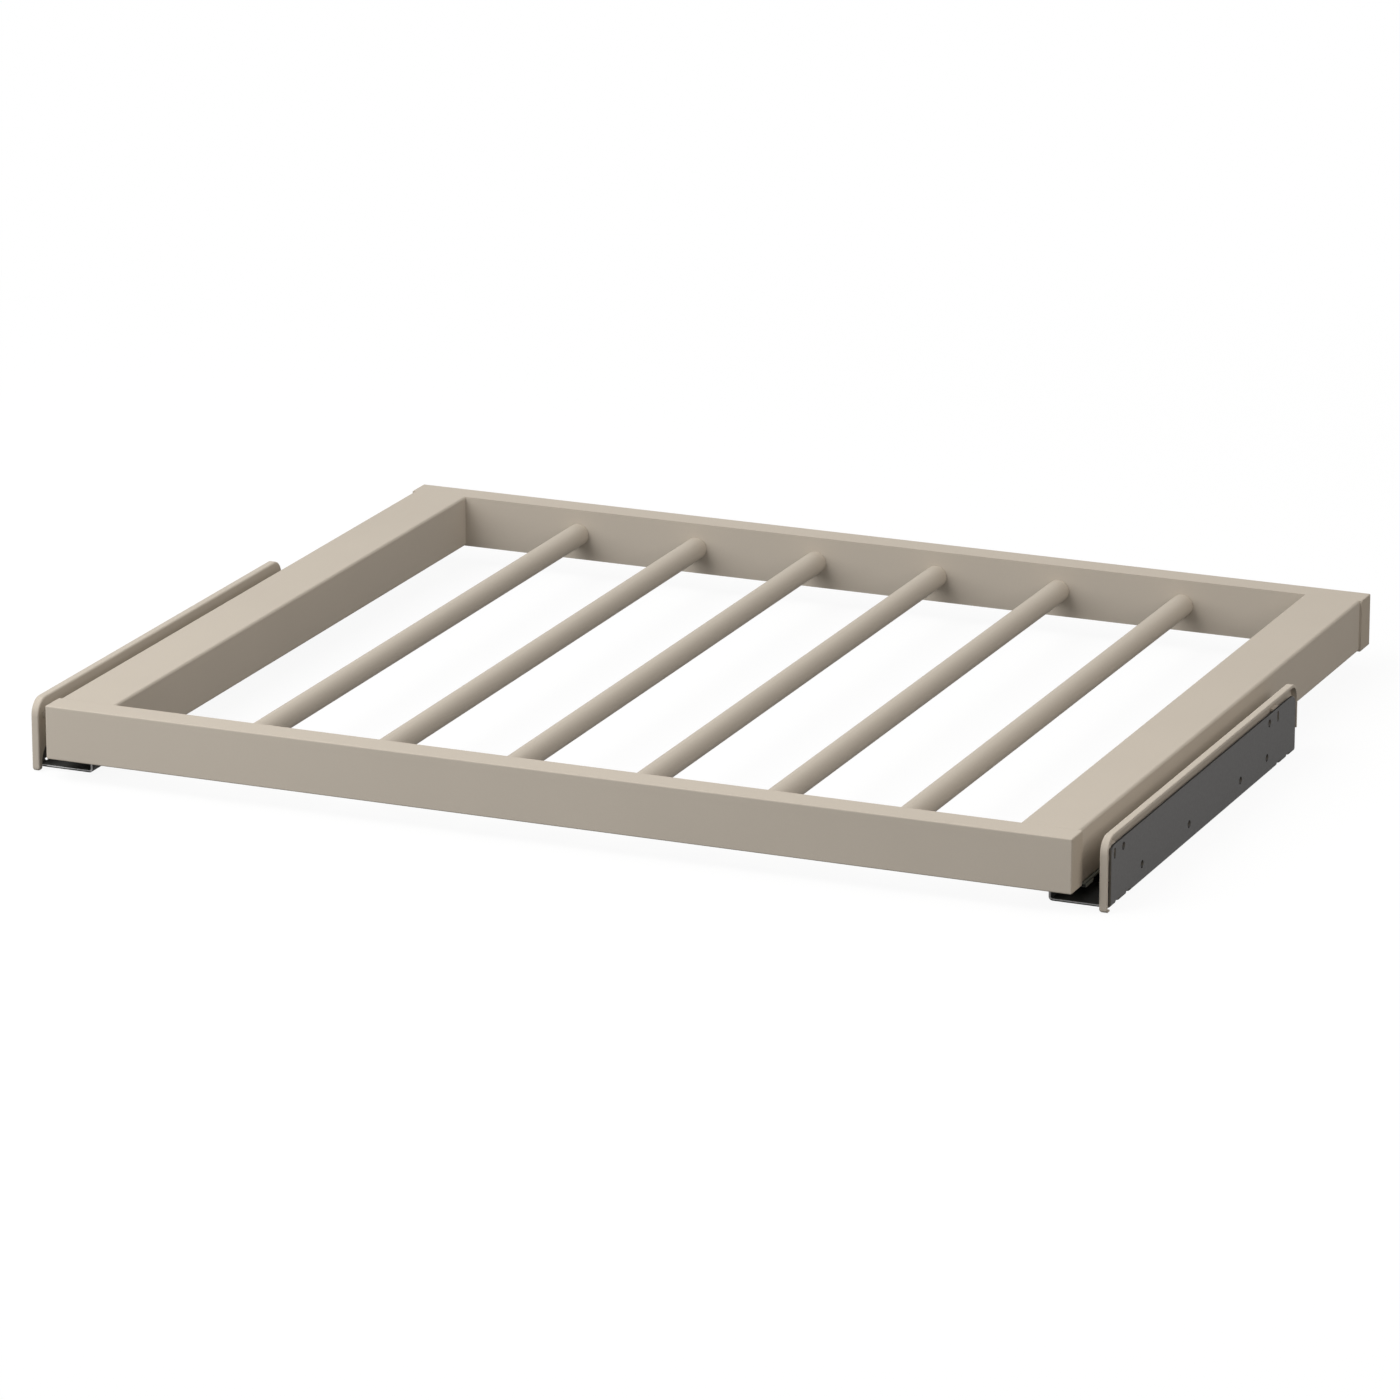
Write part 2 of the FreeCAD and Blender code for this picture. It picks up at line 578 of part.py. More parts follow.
def rib(y):
    """Rib behind the plate's upper edge, with a top that slopes down towards the plate."""
    start, end = cover_back - COVER_ROOT, plate_inner - RIB_PLAY
    y0 = y - RIB_LENGTH / 2
    corners = [(V(start, y0, plate_top - RIB_DROP), 0), (V(end, y0, plate_top - RIB_DROP), 0),
               (V(end, y0, plate_top + RIB_TIP), 0), (V(start, y0, plate_top + RIB_RISE), 0)]
    return extrude(corners, V(0, RIB_LENGTH, 0))


def pip(y):
    """Low pip on the frame side of the broad face."""
    return oblong(cover_face - PIP_RISE, cover_face + COVER_ROOT, y - PIP_LEAD, peg_z,
                  PIP_WIDTH, PIP_HEIGHT)


# -------------------------------------------------------------------- ball runner
def races(row):
    """Round grooves for the two rows of balls at one distance from the runner's middle."""
    start = slide_front - slide_length
    return [cylinder(race_radius, V(runner_x + sign * row, start, ball_z), V(0, 1, 0), 3 * slide_length)
            for sign in (-1, 1)]


def channel(half, legs, web, leg_range, y1):
    """Web with two legs: legs is their thickness, web and leg_range are height spans."""
    pieces = [box(runner_x - half, runner_x + half, slide_front, y1, web[0], web[1])]
    for sign in (-1, 1):
        ends = sorted((runner_x + sign * half, runner_x + sign * (half - legs)))
        pieces.append(box(ends[0], ends[1], slide_front, y1, leg_range[0], leg_range[1]))
    return pieces[0].fuse(pieces[1:]).removeSplitter()


def fixed_channel():
    profile = channel(fixed_half, leg, (flange_top, flange_top + FIXED_WEB),
                      (flange_top, strip_bottom - LEG_DROP), plate_rear)
    stop_y = slide_front + STOP_INSET
    stop = box(runner_x - STOP_LANE - STOP_WIDTH / 2, runner_x - STOP_LANE + STOP_WIDTH / 2,
               stop_y, stop_y + STOP_THICKNESS, flange_top, middle_web_top + STOP_PLAY)
    holes = rivet_holes(fixed_rivet_places(), flange_top, flange_top + FIXED_WEB)
    return profile.cut(races(outer_row)).fuse(stop).cut(holes)


def middle_channel():
    profile = channel(middle_half, middle_leg, (middle_web_bottom, middle_web_top),
                      (middle_web_bottom, strip_bottom - MIDDLE_DROP), slide_rear)
    stop_y = slide_front + STOP_INSET
    slot = box(runner_x - STOP_LANE - STOP_WIDTH / 2 - STOP_PLAY,
               runner_x - STOP_LANE + STOP_WIDTH / 2 + STOP_PLAY,
               stop_y - STOP_PLAY, stop_y + STOP_THICKNESS + middle_travel + STOP_PLAY,
               middle_web_bottom, middle_web_top)
    catch_y = slide_rear - STOP_THICKNESS - middle_travel - STOP_PLAY
    catch = box(runner_x + STOP_LANE - STOP_WIDTH / 2, runner_x + STOP_LANE + STOP_WIDTH / 2,
                catch_y - STOP_THICKNESS, catch_y, middle_web_bottom, ball_z + STOP_PLAY)
    return profile.cut(races(outer_row) + races(inner_row) + [slot]).fuse(catch)


def inner_channel():
    profile = channel(inner_half, leg, (inner_web_bottom, strip_bottom),
                      (middle_web_top + LEG_PLAY, strip_bottom), slide_rear)
    hook = box(runner_x + STOP_LANE - STOP_WIDTH / 2, runner_x + STOP_LANE + STOP_WIDTH / 2,
               slide_rear - STOP_THICKNESS, slide_rear, middle_web_top + LEG_PLAY, strip_bottom)
    holes = rivet_holes(rivet_rows(rivet_x), inner_web_bottom, strip_bottom)
    return profile.cut(races(inner_row)).fuse(hook).cut(holes)


def fixed_rivet_places():
    return rivet_rows(runner_x + STOP_LANE)


def ball_rows():
    """Places of the balls along one cage."""
    count = int((cage_length - 2 * CAGE_MARGIN - BALL_DIAMETER) // BALL_PITCH) + 1
    first = cage_front + (cage_length - (count - 1) * BALL_PITCH) / 2
    return [first + i * BALL_PITCH for i in range(count)]


def balls(row):
    return [Part.makeSphere(BALL_DIAMETER / 2, V(runner_x + sign * row, y, ball_z))
            for sign in (-1, 1) for y in ball_rows()]


def cage(row):
    """Two plastic strips, one for each row, with a round pocket for each ball."""
    pocket = BALL_DIAMETER / 2 + POCKET_PLAY
    reach = pocket + CAGE_RIM
    strips = []
    for sign in (-1, 1):
        x = runner_x + sign * row
        strip = box(x - CAGE_THICKNESS / 2, x + CAGE_THICKNESS / 2, cage_front,
                    cage_front + cage_length, ball_z - reach, ball_z + reach)
        pockets = [cylinder(pocket, V(x - CAGE_THICKNESS, y, ball_z), V(1, 0, 0), 2 * CAGE_THICKNESS)
                   for y in ball_rows()]
        strips.append(strip.cut(pockets))
    return strips


def rear_buffer():
    half = fixed_half - leg
    block = box(runner_x - half, runner_x + half, slide_rear + BUFFER_PLAY, plate_rear,
                flange_top + FIXED_WEB, strip_bottom - LEG_DROP)
    return block.cut(races(outer_row))


# -------------------------------------------------------------- strip and front clip
def mounting_strip():
    strip = box(strip_inner, strip_outer, strip_front, slide_rear, strip_bottom, frame_bottom)
    holes = rivet_holes(rivet_rows(rivet_x), strip_bottom, frame_bottom)
    return strip.cut(holes + [screw(x, y, z, FIT) for x, y, z in screw_places()])


def front_clip():
    """Plastic clip under the strip's front end, with a tab on its outer side."""
    y0 = strip_front + CLIP_SETBACK
    low = strip_bottom - CLIP_THICKNESS
    plate = box(strip_inner, strip_outer, y0, y0 + CLIP_LENGTH, low, strip_bottom)
    tab = box(strip_outer - CLIP_TAB_WIDTH, strip_outer, y0, y0 + CLIP_TAB_LENGTH,
              low - CLIP_TAB_DROP, strip_bottom)
    x, y, z = screw_places()[-1]
    clip = plate.fuse(tab).removeSplitter()
    tip = edges_along(clip, V(1, 0, 0), lambda middle: middle.z < low - NEAR)
    return clip.makeFillet(CLIP_TAB_DROP / 2, tip).cut(screw(x, y, z, FIT))


# --------------------------------------------------------------------------- nodes
front = front_rail()
save("front_rail", [front])
save("back_rail", [front.mirror(V(0, 0, 0), V(0, 1, 0))])
for number, position in enumerate(rod_positions(), start=1):
    save("trouser_rod_" + str(number), [rod(position)])
save("corner_dowels", all_corners(dowel()))
save("cam_bolts", all_corners(cam_bolt()))
save("cam_nuts", all_corners(cam_nut()))

bracket_holes = rivet_holes(fixed_rivet_places(), flange_bottom, flange_top)
save_pair("side_rail", [side_rail()])
save_pair("wall_bracket", [wall_bracket().cut(bracket_holes)])
save_pair("cover", [cover()])
save_pair("fixed_channel", [fixed_channel()])
save_pair("middle_channel", [middle_channel()])
save_pair("inner_channel", [inner_channel()])
save_pair("outer_ball_cage", cage(outer_row))
save_pair("outer_balls", balls(outer_row))
save_pair("inner_ball_cage", cage(inner_row))
save_pair("inner_balls", balls(inner_row))
save_pair("rear_buffer", [rear_buffer()])
save_pair("mounting_strip", [mounting_strip()])
save_pair("front_clip", [front_clip()])
save_pair("frame_screws", [crossed_screw(x, y, z) for x, y, z in screw_places()])
save_pair("channel_rivets", [rivet(x, y, flange_bottom, flange_top + FIXED_WEB)
                             for x, y in fixed_rivet_places()])
save_pair("strip_rivets", [rivet(x, y, inner_web_bottom, frame_bottom)
                           for x, y in rivet_rows(rivet_x)])
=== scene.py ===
"""Looks of the pull-out trouser rack: its finishes, the floor, the light and the camera.

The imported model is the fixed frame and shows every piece; here each piece gets its
procedural finish. Lengths are in metres, colours are linear, and the rack pulls out along -Y.
"""

import json
import math
from typing import NamedTuple

import bpy
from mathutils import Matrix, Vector


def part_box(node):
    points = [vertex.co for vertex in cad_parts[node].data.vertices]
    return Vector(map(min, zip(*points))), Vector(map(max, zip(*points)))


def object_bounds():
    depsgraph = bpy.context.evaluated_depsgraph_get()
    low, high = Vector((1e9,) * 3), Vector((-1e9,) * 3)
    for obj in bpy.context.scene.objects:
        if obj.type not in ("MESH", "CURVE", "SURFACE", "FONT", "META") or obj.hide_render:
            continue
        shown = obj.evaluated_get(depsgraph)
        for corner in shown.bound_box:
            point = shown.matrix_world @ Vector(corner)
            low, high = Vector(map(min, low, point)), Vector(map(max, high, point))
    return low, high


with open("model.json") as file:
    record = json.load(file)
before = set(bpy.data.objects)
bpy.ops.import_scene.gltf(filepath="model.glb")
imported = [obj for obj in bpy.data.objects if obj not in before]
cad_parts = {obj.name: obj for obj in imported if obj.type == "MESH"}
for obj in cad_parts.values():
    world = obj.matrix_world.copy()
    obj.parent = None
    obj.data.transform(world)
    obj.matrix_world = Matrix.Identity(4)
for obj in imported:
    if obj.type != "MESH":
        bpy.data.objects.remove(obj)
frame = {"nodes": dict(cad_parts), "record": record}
cad_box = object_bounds()

MM = 0.001

# Colours of the light and of what surrounds the rack.
WHITE = (1.0, 1.0, 1.0)
WARM = (1.0, 0.95, 0.90)

# Camera: where it looks, from where, and through which lens.
LOOK_AT = Vector((-18.54, 5.36, 10.19)) * MM
CAMERA_DISTANCE = 4965.6 * MM
CAMERA_AZIMUTH = math.radians(23.013)      # towards +X from straight in front
CAMERA_ELEVATION = math.radians(17.147)
LENS = 200.65                              # for the sensor below, in a square frame
SENSOR = 36.0

# Floor and surroundings.
FLOOR_HALF = 40.0                          # half the side of the square floor
FLOOR_GAP = 0.5 * MM                       # below the lowest point of the rack
FLOOR_GREY = (0.20, 0.20, 0.20)            # as it reflects light onto the rack
FLOOR_LIFT = 0.92                          # share of plain white in what is seen near the rack
SHADOW_REACH = (0.55, 1.30)                # from the middle: the shadow shows, the floor is plain
AMBIENT = 0.25                             # strength of the light from all round


class Lamp(NamedTuple):
    """A large square lamp that points at the middle of the rack."""
    name: str
    place: tuple
    size: float
    watts: float
    colour: tuple = WHITE


LAMPS = (
    Lamp("key", place=(-1.2, -1.6, 2.6), size=2.0, watts=62.6),
    Lamp("front_fill", place=(-1.0, -1.6, 0.6), size=0.8, watts=10.4),
    Lamp("right_fill", place=(2.2, -0.6, 1.6), size=1.5, watts=26.6, colour=WARM),
    Lamp("left_fill", place=(-2.5, 0.5, 2.0), size=1.5, watts=23.4),
    Lamp("back_fill", place=(0.0, 2.5, 2.0), size=1.5, watts=11.3),
    Lamp("top_fill", place=(0.0, 0.0, 3.0), size=2.0, watts=3.0),
)
LAMP_TARGET = Vector((0.0, 0.0, 0.0))

# Colours of the finishes.
GREIGE = (0.500, 0.448, 0.380)
END_TONE = (0.428, 0.370, 0.296)           # darker tone on the ends of the front and back rails
DARK_GREY = (0.139, 0.139, 0.139)          # the brackets' plates
FLANGE_SHADE_GREY = (0.050, 0.050, 0.048)        # painted shade on the brackets' up- and down-facing faces, chiefly the flanges, and on the lower, coated part of the flanges' cut ends
PLATE_END = (0.185, 0.170, 0.145)          # front and rear ends of the plates
CUT_STEEL_HIGHLIGHT_GREY = (0.62, 0.62, 0.62)              # bare steel of a cut end, lightened as a painted highlight
STRIP_GREY = (0.235, 0.242, 0.202)
CLIP_GREY = (0.490, 0.505, 0.440)
CLIP_DARK = (0.040, 0.041, 0.036)          # front and rear ends of the clips
ZINC = (0.62, 0.63, 0.63)
STEEL = (0.72, 0.72, 0.73)
ALLOY = (0.50, 0.50, 0.51)
DIP_BLACK = (0.020, 0.020, 0.021)
CAGE_BLACK = (0.022, 0.022, 0.024)
RUBBER_BLACK = (0.018, 0.018, 0.019)
BEECH_LIGHT = (0.60, 0.40, 0.24)
BEECH_DARK = (0.42, 0.25, 0.13)

# Gloss of the finishes, and where they change on a piece.
GLOSS = 0.05                               # specular level of every finish
FACING = (0.75, 0.95)                      # cosines between which a surface comes to face an axis
PLATE_ZONE = (2.1 * MM, 1.6 * MM)          # from the outermost face of the rack: the upright plates
HIGHLIGHT_ZONE = (0.7 * MM, 0.9 * MM)           # above a flange's underside: from here up its cut end is bare steel with a painted highlight
END_ZONE = 0.4 * MM                        # how far the darker end tone reaches round the rails' ends

# The values between which a pattern rises from nothing to full.
NOISE_RISE = (0.3, 0.7)                    # most values of a noise lie between these
FLECK_RISE = (0.62, 0.72)                  # only a noise's peaks reach these
CELL_RISE = (0.1, 0.6)                     # from near a cell's middle to near its edge


# ---- Shader nodes ------------------------------------------------------------------------

# Sockets of a Mix node that blends colours.
MIX_FACTOR = 0
MIX_FIRST = 6
MIX_SECOND = 7
MIX_RESULT = 2


def feed(tree, socket, value):
    """Joins a socket to another node's output, or sets its plain value."""
    if isinstance(value, bpy.types.NodeSocket):
        tree.links.new(value, socket)
    else:
        socket.default_value = value


def add_node(tree, kind, **inputs):
    """A new node with the given inputs, whose names have underscores for spaces."""
    node = tree.nodes.new(kind)
    for name, value in inputs.items():
        feed(tree, node.inputs[name.replace("_", " ")], value)
    return node


def operate(tree, kind, operation, *values):
    """A Math or Vector Math node with the given values."""
    node = tree.nodes.new(kind)
    node.operation = operation
    for socket, value in zip(node.inputs, values):
        feed(tree, socket, value)
    return node


def mix_shaders(tree, factor, first, second):
    """The first shader where a factor is 0, and the second where it is 1."""
    node = add_node(tree, "ShaderNodeMixShader", Fac=factor)
    feed(tree, node.inputs[1], first.outputs[0])
    feed(tree, node.inputs[2], second.outputs[0])
    return node


def shade(colour, factor=1.0):
    """A colour made lighter or darker, with full alpha."""
    return tuple(min(1.0, part * factor) for part in colour) + (1.0,)


class Pattern(NamedTuple):
    """A value over a surface, and the two values between which it rises from nothing to full."""
    value: bpy.types.NodeSocket
    start: float
    end: float


class Finish:
    """A material under construction, whose patterns lie on the piece at rest and move with it."""

    def __init__(self, name, roughness, metallic=0.0):
        self.material = bpy.data.materials.new(name)
        self.material.use_nodes = True
        self.tree = self.material.node_tree
        self.shader = self.tree.nodes["Principled BSDF"]
        self.shader.inputs["Roughness"].default_value = roughness
        self.shader.inputs["Metallic"].default_value = metallic
        self.shader.inputs["Specular IOR Level"].default_value = GLOSS
        self.mean_roughness = roughness
        coordinates = add_node(self.tree, "ShaderNodeTexCoord")
        self.place = coordinates.outputs["Object"]
        self.outward = coordinates.outputs["Normal"]
        self.normal = None

    # Patterns.

    def noise(self, per_metre, detail, rise=NOISE_RISE):
        """Noise with so many features per metre, the same all ways or given for each axis."""
        if isinstance(per_metre, tuple):
            stretch = operate(self.tree, "ShaderNodeVectorMath", "MULTIPLY", self.place, per_metre)
            place, scale = stretch.outputs["Vector"], 1.0
        else:
            place, scale = self.place, per_metre
        node = add_node(self.tree, "ShaderNodeTexNoise", Vector=place, Scale=scale, Detail=detail)
        return Pattern(node.outputs["Fac"], *rise)

    def cells(self, per_metre):
        """Smooth rounded cells, as in a spark-eroded skin."""
        node = add_node(self.tree, "ShaderNodeTexVoronoi", Vector=self.place, Scale=per_metre)
        node.feature = "SMOOTH_F1"
        return Pattern(node.outputs["Distance"], *CELL_RISE)

    def reach(self, vector, axis):
        """How far a vector reaches along an axis, either way."""
        parts = add_node(self.tree, "ShaderNodeSeparateXYZ", Vector=vector)
        return operate(self.tree, "ShaderNodeMath", "ABSOLUTE", parts.outputs[axis]).outputs["Value"]

    def facing(self, axis):
        """Full where the surface looks along an axis, either way."""
        return Pattern(self.reach(self.outward, axis), *FACING)

    def beyond(self, axis, start, end):
        """Full from a distance on, measured from the origin along an axis, either way."""
        return Pattern(self.reach(self.place, axis), start, end)

    # What the patterns do.

    def mapped(self, pattern, low, high):
        """A number that goes from low to high as the pattern rises."""
        node = add_node(
            self.tree, "ShaderNodeMapRange", Value=pattern.value,
            From_Min=pattern.start, From_Max=pattern.end, To_Min=low, To_Max=high,
        )
        return node.outputs["Result"]

    def blend(self, pattern, first, second, most=1.0):
        """The first colour, with as much as most of the second where the pattern is full."""
        node = self.tree.nodes.new("ShaderNodeMix")
        node.data_type = "RGBA"
        feed(self.tree, node.inputs[MIX_FACTOR], self.mapped(pattern, 0.0, most))
        feed(self.tree, node.inputs[MIX_FIRST], first)
        feed(self.tree, node.inputs[MIX_SECOND], second)
        return node.outputs[MIX_RESULT]

    def mottled(self, pattern, colour, darkest, lightest):
        """A colour that the pattern varies between two factors of it."""
        return self.blend(pattern, shade(colour, darkest), shade(colour, lightest))

    def colour(self, value):
        """Gives the material its colour."""
        feed(self.tree, self.shader.inputs["Base Color"], value)

    def vary_roughness(self, pattern, spread):
        """Lets the pattern take the roughness from a spread below its mean to a spread above."""
        roughness = self.mapped(pattern, self.mean_roughness - spread, self.mean_roughness + spread)
        feed(self.tree, self.shader.inputs["Roughness"], roughness)

    def bump(self, pattern, depth):
        """Adds relief of a depth on top of the relief so far."""
        node = add_node(self.tree, "ShaderNodeBump", Height=pattern.value, Distance=depth)
        if self.normal is not None:
            feed(self.tree, node.inputs["Normal"], self.normal)
        self.normal = node.outputs["Normal"]
        feed(self.tree, self.shader.inputs["Normal"], self.normal)


# ---- Finishes, each named after its slot in the record -----------------------------------

def frame_foil():
    """Matte foil on fibreboard: cloudy, with a fine grain, and darker on the long rails' ends."""
    finish = Finish("frame_foil", roughness=0.75)
    clouds = finish.noise(per_metre=14.0, detail=2.0)
    grain = finish.noise(per_metre=1500.0, detail=2.0)
    rail_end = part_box("front_rail")[1].x
    at_end = finish.beyond("X", rail_end - END_ZONE, rail_end)
    foil = finish.mottled(clouds, GREIGE, darkest=0.985, lightest=1.015)
    tone = finish.blend(at_end, foil, shade(END_TONE))
    finish.colour(finish.blend(grain, tone, shade(GREIGE, 0.96), most=0.5))
    finish.vary_roughness(grain, spread=0.05)
    finish.bump(grain, depth=0.02 * MM)
    return finish.material


def rod_coating():
    """Powder coating on steel tube: soft orange peel with fine grit in it."""
    finish = Finish("rod_coating", roughness=0.655)
    peel = finish.noise(per_metre=420.0, detail=1.0)
    grit = finish.noise(per_metre=2200.0, detail=2.0)
    finish.colour(finish.mottled(grit, GREIGE, darkest=0.945, lightest=0.985))
    finish.vary_roughness(peel, spread=0.045)
    finish.bump(peel, depth=0.05 * MM)
    finish.bump(grit, depth=0.015 * MM)
    return finish.material


def cover_plastic():
    """Moulded plastic with a fine spark-eroded skin, and faint flow lines along the cover."""
    finish = Finish("cover_plastic", roughness=0.65)
    skin = finish.cells(per_metre=1700.0)
    flow = finish.noise(per_metre=(25.0, 9.0, 25.0), detail=2.0)
    finish.colour(finish.mottled(flow, GREIGE, darkest=0.985, lightest=1.015))
    finish.vary_roughness(skin, spread=0.05)
    finish.bump(skin, depth=0.02 * MM)
    return finish.material


def bracket_coating():
    """Dark grey coating on sheet steel, with painted shade on faces that look up or down, chiefly the
    flanges; the upper part of the flanges' cut ends is bare steel with a painted highlight.
    """
    finish = Finish("bracket_coating", roughness=0.6)
    peel = finish.noise(per_metre=500.0, detail=1.0)
    grit = finish.noise(per_metre=2600.0, detail=2.0)
    shear_marks = finish.noise(per_metre=(2600.0, 2600.0, 300.0), detail=2.0)
    plate_face = cad_box[1].x
    on_plate = finish.beyond("X", *(plate_face - depth for depth in PLATE_ZONE))
    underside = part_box("right_wall_bracket")[0].z
    # From this height up, a flange's cut end takes bare steel with a painted highlight; below it,
    # painted shade.
    bare = finish.beyond("Z", *(underside + height for height in HIGHLIGHT_ZONE))
    plate = finish.mottled(grit, DARK_GREY, darkest=0.97, lightest=1.04)
    # Bare steel of the cut ends, lightened as a painted highlight.
    steel = finish.mottled(shear_marks, CUT_STEEL_HIGHLIGHT_GREY, darkest=0.85, lightest=1.15)
    # Painted shade: faces that look up or down, chiefly inside the flanges' channel, are darker.
    faces = finish.blend(finish.facing("Z"), plate, shade(FLANGE_SHADE_GREY))
    flange_ends = finish.blend(bare, shade(FLANGE_SHADE_GREY), steel)
    ends = finish.blend(on_plate, flange_ends, shade(PLATE_END))
    finish.colour(finish.blend(finish.facing("Y"), faces, ends))
    finish.vary_roughness(peel, spread=0.06)
    finish.bump(peel, depth=0.02 * MM)
    finish.bump(grit, depth=0.008 * MM)
    return finish.material


def strip_coating():
    """Thin dark coating on the strips under the side rails."""
    finish = Finish("strip_coating", roughness=0.5)
    grit = finish.noise(per_metre=1900.0, detail=2.0)
    finish.colour(finish.mottled(grit, STRIP_GREY, darkest=0.92, lightest=1.08))
    finish.vary_roughness(grit, spread=0.06)
    finish.bump(grit, depth=0.015 * MM)
    return finish.material


def clip_plastic():
    """Grey moulded plastic of the front clips, dark on their front and rear ends."""
    finish = Finish("clip_plastic", roughness=0.45)
    skin = finish.cells(per_metre=2100.0)
    body = finish.mottled(skin, CLIP_GREY, darkest=0.94, lightest=1.06)
    finish.colour(finish.blend(finish.facing("Y"), body, shade(CLIP_DARK)))
    finish.vary_roughness(skin, spread=0.05)
    finish.bump(skin, depth=0.015 * MM)
    return finish.material


def runner_coating():
    """Black dip coating on rolled steel: uneven, with greyer streaks along the runner."""
    finish = Finish("runner_coating", roughness=0.42)
    streaks = finish.noise(per_metre=(1800.0, 30.0, 1800.0), detail=3.0)
    patches = finish.noise(per_metre=90.0, detail=2.0)
    coat = finish.mottled(patches, DIP_BLACK, darkest=0.85, lightest=1.20)
    finish.colour(finish.blend(streaks, coat, shade(DIP_BLACK, 1.6), most=0.5))
    finish.vary_roughness(streaks, spread=0.06)
    finish.bump(streaks, depth=0.01 * MM)
    return finish.material


def ball_steel():
    """Ground steel balls with a film of grease."""
    finish = Finish("ball_steel", roughness=0.15, metallic=1.0)
    smear = finish.noise(per_metre=900.0, detail=2.0)
    finish.colour(finish.mottled(smear, STEEL, darkest=0.88, lightest=1.05))
    finish.vary_roughness(smear, spread=0.07)
    return finish.material


def cage_plastic():
    """Black moulded plastic of the ball cages, with a greasy sheen in places."""
    finish = Finish("cage_plastic", roughness=0.38)
    skin = finish.cells(per_metre=1800.0)
    smear = finish.noise(per_metre=240.0, detail=2.0)
    finish.colour(finish.mottled(smear, CAGE_BLACK, darkest=0.85, lightest=1.25))
    finish.vary_roughness(smear, spread=0.10)
    finish.bump(skin, depth=0.01 * MM)
    return finish.material


def buffer_rubber():
    """Black rubber with a dusty bloom."""
    finish = Finish("buffer_rubber", roughness=0.765)
    bloom = finish.noise(per_metre=700.0, detail=3.0)
    finish.colour(finish.mottled(bloom, RUBBER_BLACK, darkest=0.9, lightest=1.6))
    finish.vary_roughness(bloom, spread=0.085)
    finish.bump(bloom, depth=0.02 * MM)
    return finish.material


def screw_zinc():
    """Zinc plating of the screws, bolts and rivets."""
    finish = Finish("screw_zinc", roughness=0.36, metallic=1.0)
    spots = finish.noise(per_metre=600.0, detail=3.0)
    finish.colour(finish.mottled(spots, ZINC, darkest=0.80, lightest=1.08))
    finish.vary_roughness(spots, spread=0.08)
    finish.bump(spots, depth=0.01 * MM)
    return finish.material


def cam_alloy():
    """Die-cast zinc alloy of the cam nuts: dull and slightly sandy."""
    finish = Finish("cam_alloy", roughness=0.50, metallic=1.0)
    sand = finish.noise(per_metre=1300.0, detail=3.0)
    finish.colour(finish.mottled(sand, ALLOY, darkest=0.85, lightest=1.08))
    finish.vary_roughness(sand, spread=0.08)
    finish.bump(sand, depth=0.03 * MM)
    return finish.material


def dowel_beech():
    """Bare beech: fibres along the dowel and short dark flecks."""
    finish = Finish("dowel_beech", roughness=0.7)
    fibres = finish.noise(per_metre=(1600.0, 60.0, 1600.0), detail=3.0)
    flecks = finish.noise(per_metre=(2400.0, 260.0, 2400.0), detail=1.0, rise=FLECK_RISE)
    wood = finish.blend(fibres, shade(BEECH_DARK), shade(BEECH_LIGHT))
    finish.colour(finish.blend(flecks, wood, shade(BEECH_DARK, 0.8), most=0.6))
    finish.bump(fibres, depth=0.05 * MM)
    return finish.material


FINISHES = (
    frame_foil, rod_coating, cover_plastic, bracket_coating, strip_coating, clip_plastic,
    runner_coating, ball_steel, cage_plastic, buffer_rubber, screw_zinc, cam_alloy, dowel_beech,
)


def dress_nodes():
    """Gives every piece of the model the finish of its slot in the record."""
    made = {make.__name__: make() for make in FINISHES}
    for part in frame["record"]["subparts"]:
        materials = frame["nodes"][part["node"]].data.materials
        materials.clear()
        materials.append(made[part["material_slot"]])


# ---- Surroundings ------------------------------------------------------------------------

def seen_directly(tree):
    """1 for camera, glossy and transmission rays, and 0 for the rays that light the object."""
    path = add_node(tree, "ShaderNodeLightPath")
    total = path.outputs["Is Camera Ray"]
    for name in ("Is Glossy Ray", "Is Transmission Ray"):
        larger = operate(tree, "ShaderNodeMath", "MAXIMUM", total, path.outputs[name])
        total = larger.outputs["Value"]
    return total


def make_world():
    """Plain ambient light that looks white to the camera and in reflections."""
    world = bpy.data.worlds.new("studio")
    world.use_nodes = True
    tree = world.node_tree
    ambient = tree.nodes["Background"]
    ambient.inputs["Color"].default_value = shade(WHITE)
    ambient.inputs["Strength"].default_value = AMBIENT
    backdrop = add_node(tree, "ShaderNodeBackground", Color=shade(WHITE), Strength=1.0)
    surface = mix_shaders(tree, seen_directly(tree), ambient, backdrop)
    feed(tree, tree.nodes["World Output"].inputs["Surface"], surface.outputs["Shader"])
    bpy.context.scene.world = world


def floor_lift(tree):
    """How white the floor looks: FLOOR_LIFT round the rack, rising to 1 further out."""
    place = add_node(tree, "ShaderNodeTexCoord").outputs["Object"]
    distance = operate(tree, "ShaderNodeVectorMath", "LENGTH", place).outputs["Value"]
    near, far = SHADOW_REACH
    lift = add_node(
        tree, "ShaderNodeMapRange", Value=distance,
        From_Min=near, From_Max=far, To_Min=FLOOR_LIFT, To_Max=1.0,
    )
    lift.interpolation_type = "SMOOTHSTEP"
    return lift.outputs["Result"]


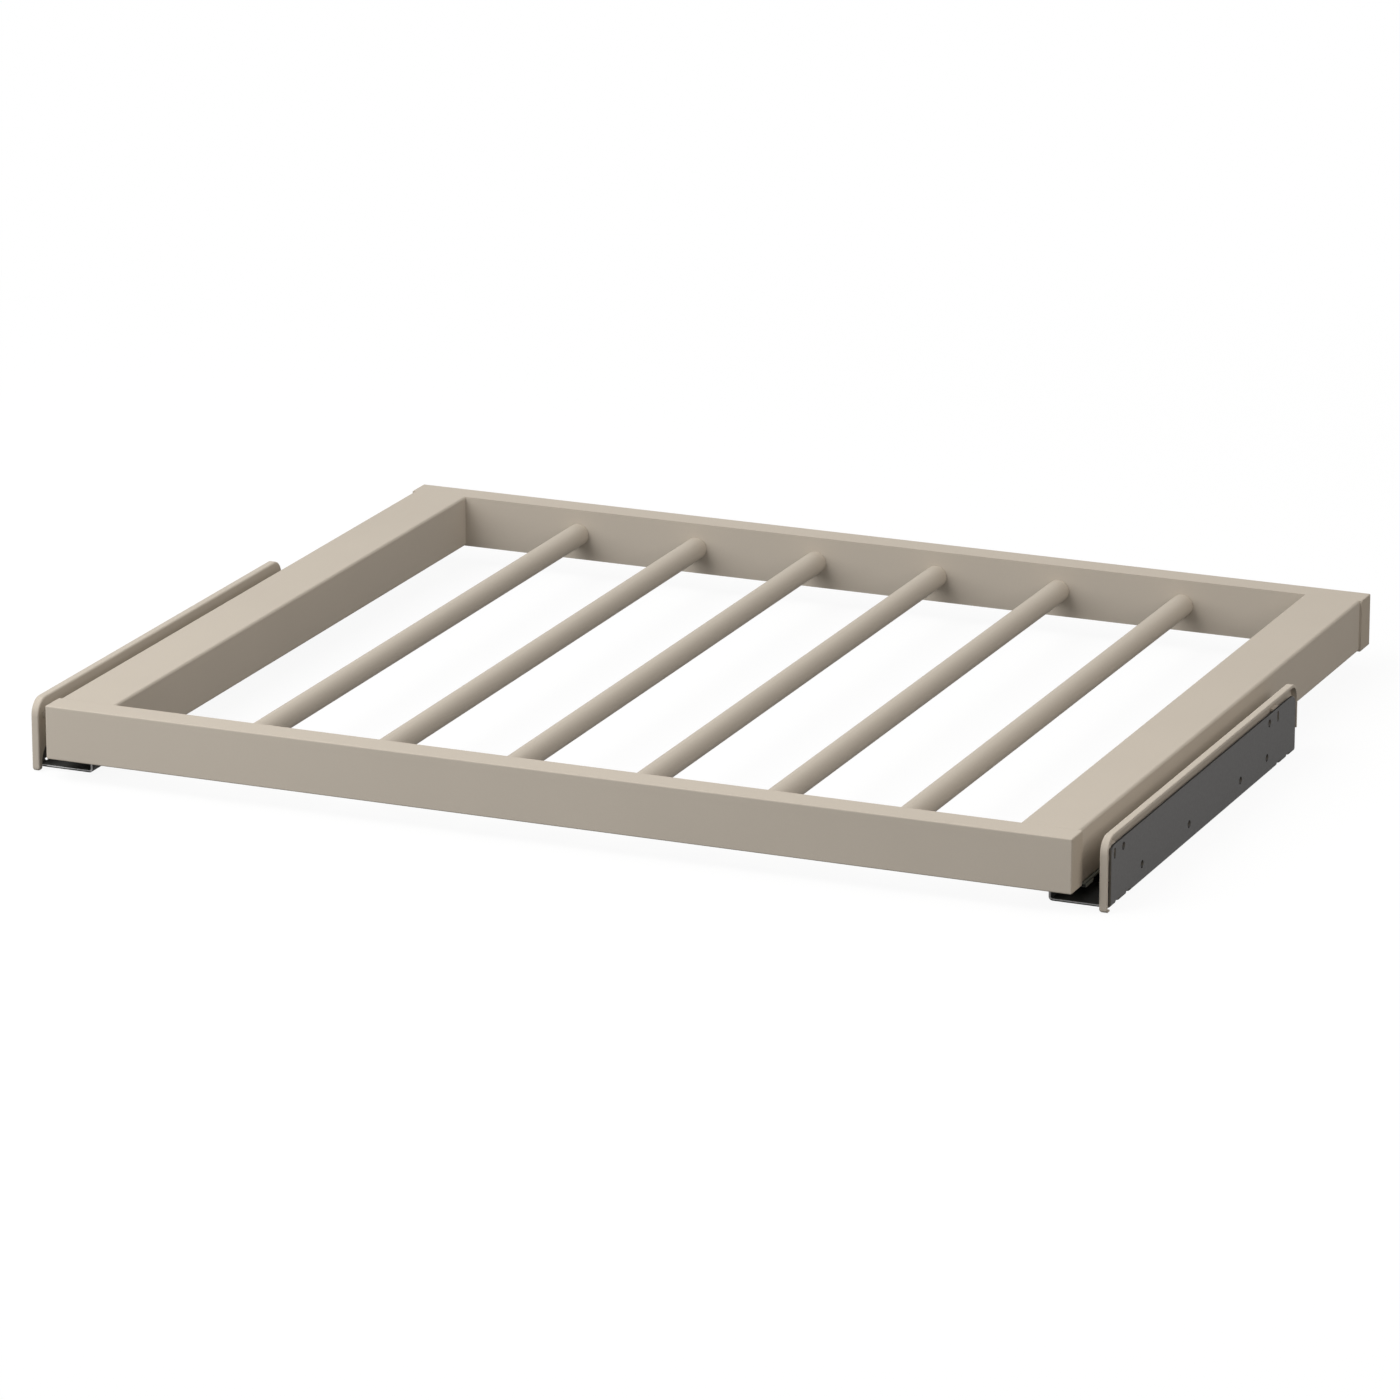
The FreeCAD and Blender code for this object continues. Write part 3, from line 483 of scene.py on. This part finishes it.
def floor_material():
    """Pale matte floor, lifted towards white where it is seen and still showing the shadow."""
    material = bpy.data.materials.new("floor")
    material.use_nodes = True
    tree = material.node_tree
    tree.nodes.remove(tree.nodes["Principled BSDF"])
    lighting = add_node(tree, "ShaderNodeBsdfDiffuse", Color=shade(FLOOR_GREY))
    shadowed = add_node(tree, "ShaderNodeBsdfDiffuse", Color=shade(WHITE))
    plain = add_node(tree, "ShaderNodeEmission", Color=shade(WHITE))
    seen = mix_shaders(tree, floor_lift(tree), shadowed, plain)
    surface = mix_shaders(tree, seen_directly(tree), lighting, seen)
    feed(tree, tree.nodes["Material Output"].inputs["Surface"], surface.outputs["Shader"])
    return material


def make_floor():
    """A plain floor just below the rack."""
    height = cad_box[0].z - FLOOR_GAP
    sides = ((-1, -1), (1, -1), (1, 1), (-1, 1))
    corners = [(x * FLOOR_HALF, y * FLOOR_HALF, height) for x, y in sides]
    mesh = bpy.data.meshes.new("floor")
    mesh.from_pydata(corners, [], [(0, 1, 2, 3)])
    mesh.materials.append(floor_material())
    floor = bpy.data.objects.new("floor", mesh)
    bpy.context.scene.collection.objects.link(floor)


def aim(thing, target):
    """Turns a lamp or camera towards a point."""
    thing.rotation_euler = (target - thing.location).to_track_quat("-Z", "Y").to_euler()


def make_lamps():
    """Large soft lamps, out of the camera's sight."""
    for lamp in LAMPS:
        light = bpy.data.lights.new(lamp.name, "AREA")
        light.color = lamp.colour
        light.shape = "SQUARE"
        light.size = lamp.size
        light.energy = lamp.watts
        placed = bpy.data.objects.new(lamp.name, light)
        placed.location = lamp.place
        aim(placed, LAMP_TARGET)
        placed.visible_camera = False
        bpy.context.scene.collection.objects.link(placed)


def make_camera():
    """The camera, from the right-hand front and slightly above."""
    data = bpy.data.cameras.new("camera")
    data.sensor_width = SENSOR
    data.lens = LENS
    camera = bpy.data.objects.new("camera", data)
    away = Vector((
        math.sin(CAMERA_AZIMUTH) * math.cos(CAMERA_ELEVATION),
        -math.cos(CAMERA_AZIMUTH) * math.cos(CAMERA_ELEVATION),
        math.sin(CAMERA_ELEVATION),
    ))
    camera.location = LOOK_AT + away * CAMERA_DISTANCE
    aim(camera, LOOK_AT)
    bpy.context.scene.collection.objects.link(camera)
    bpy.context.scene.camera = camera


make_camera()
make_world()
make_floor()
make_lamps()
dress_nodes()
bpy.context.scene.view_settings.view_transform = "Standard"
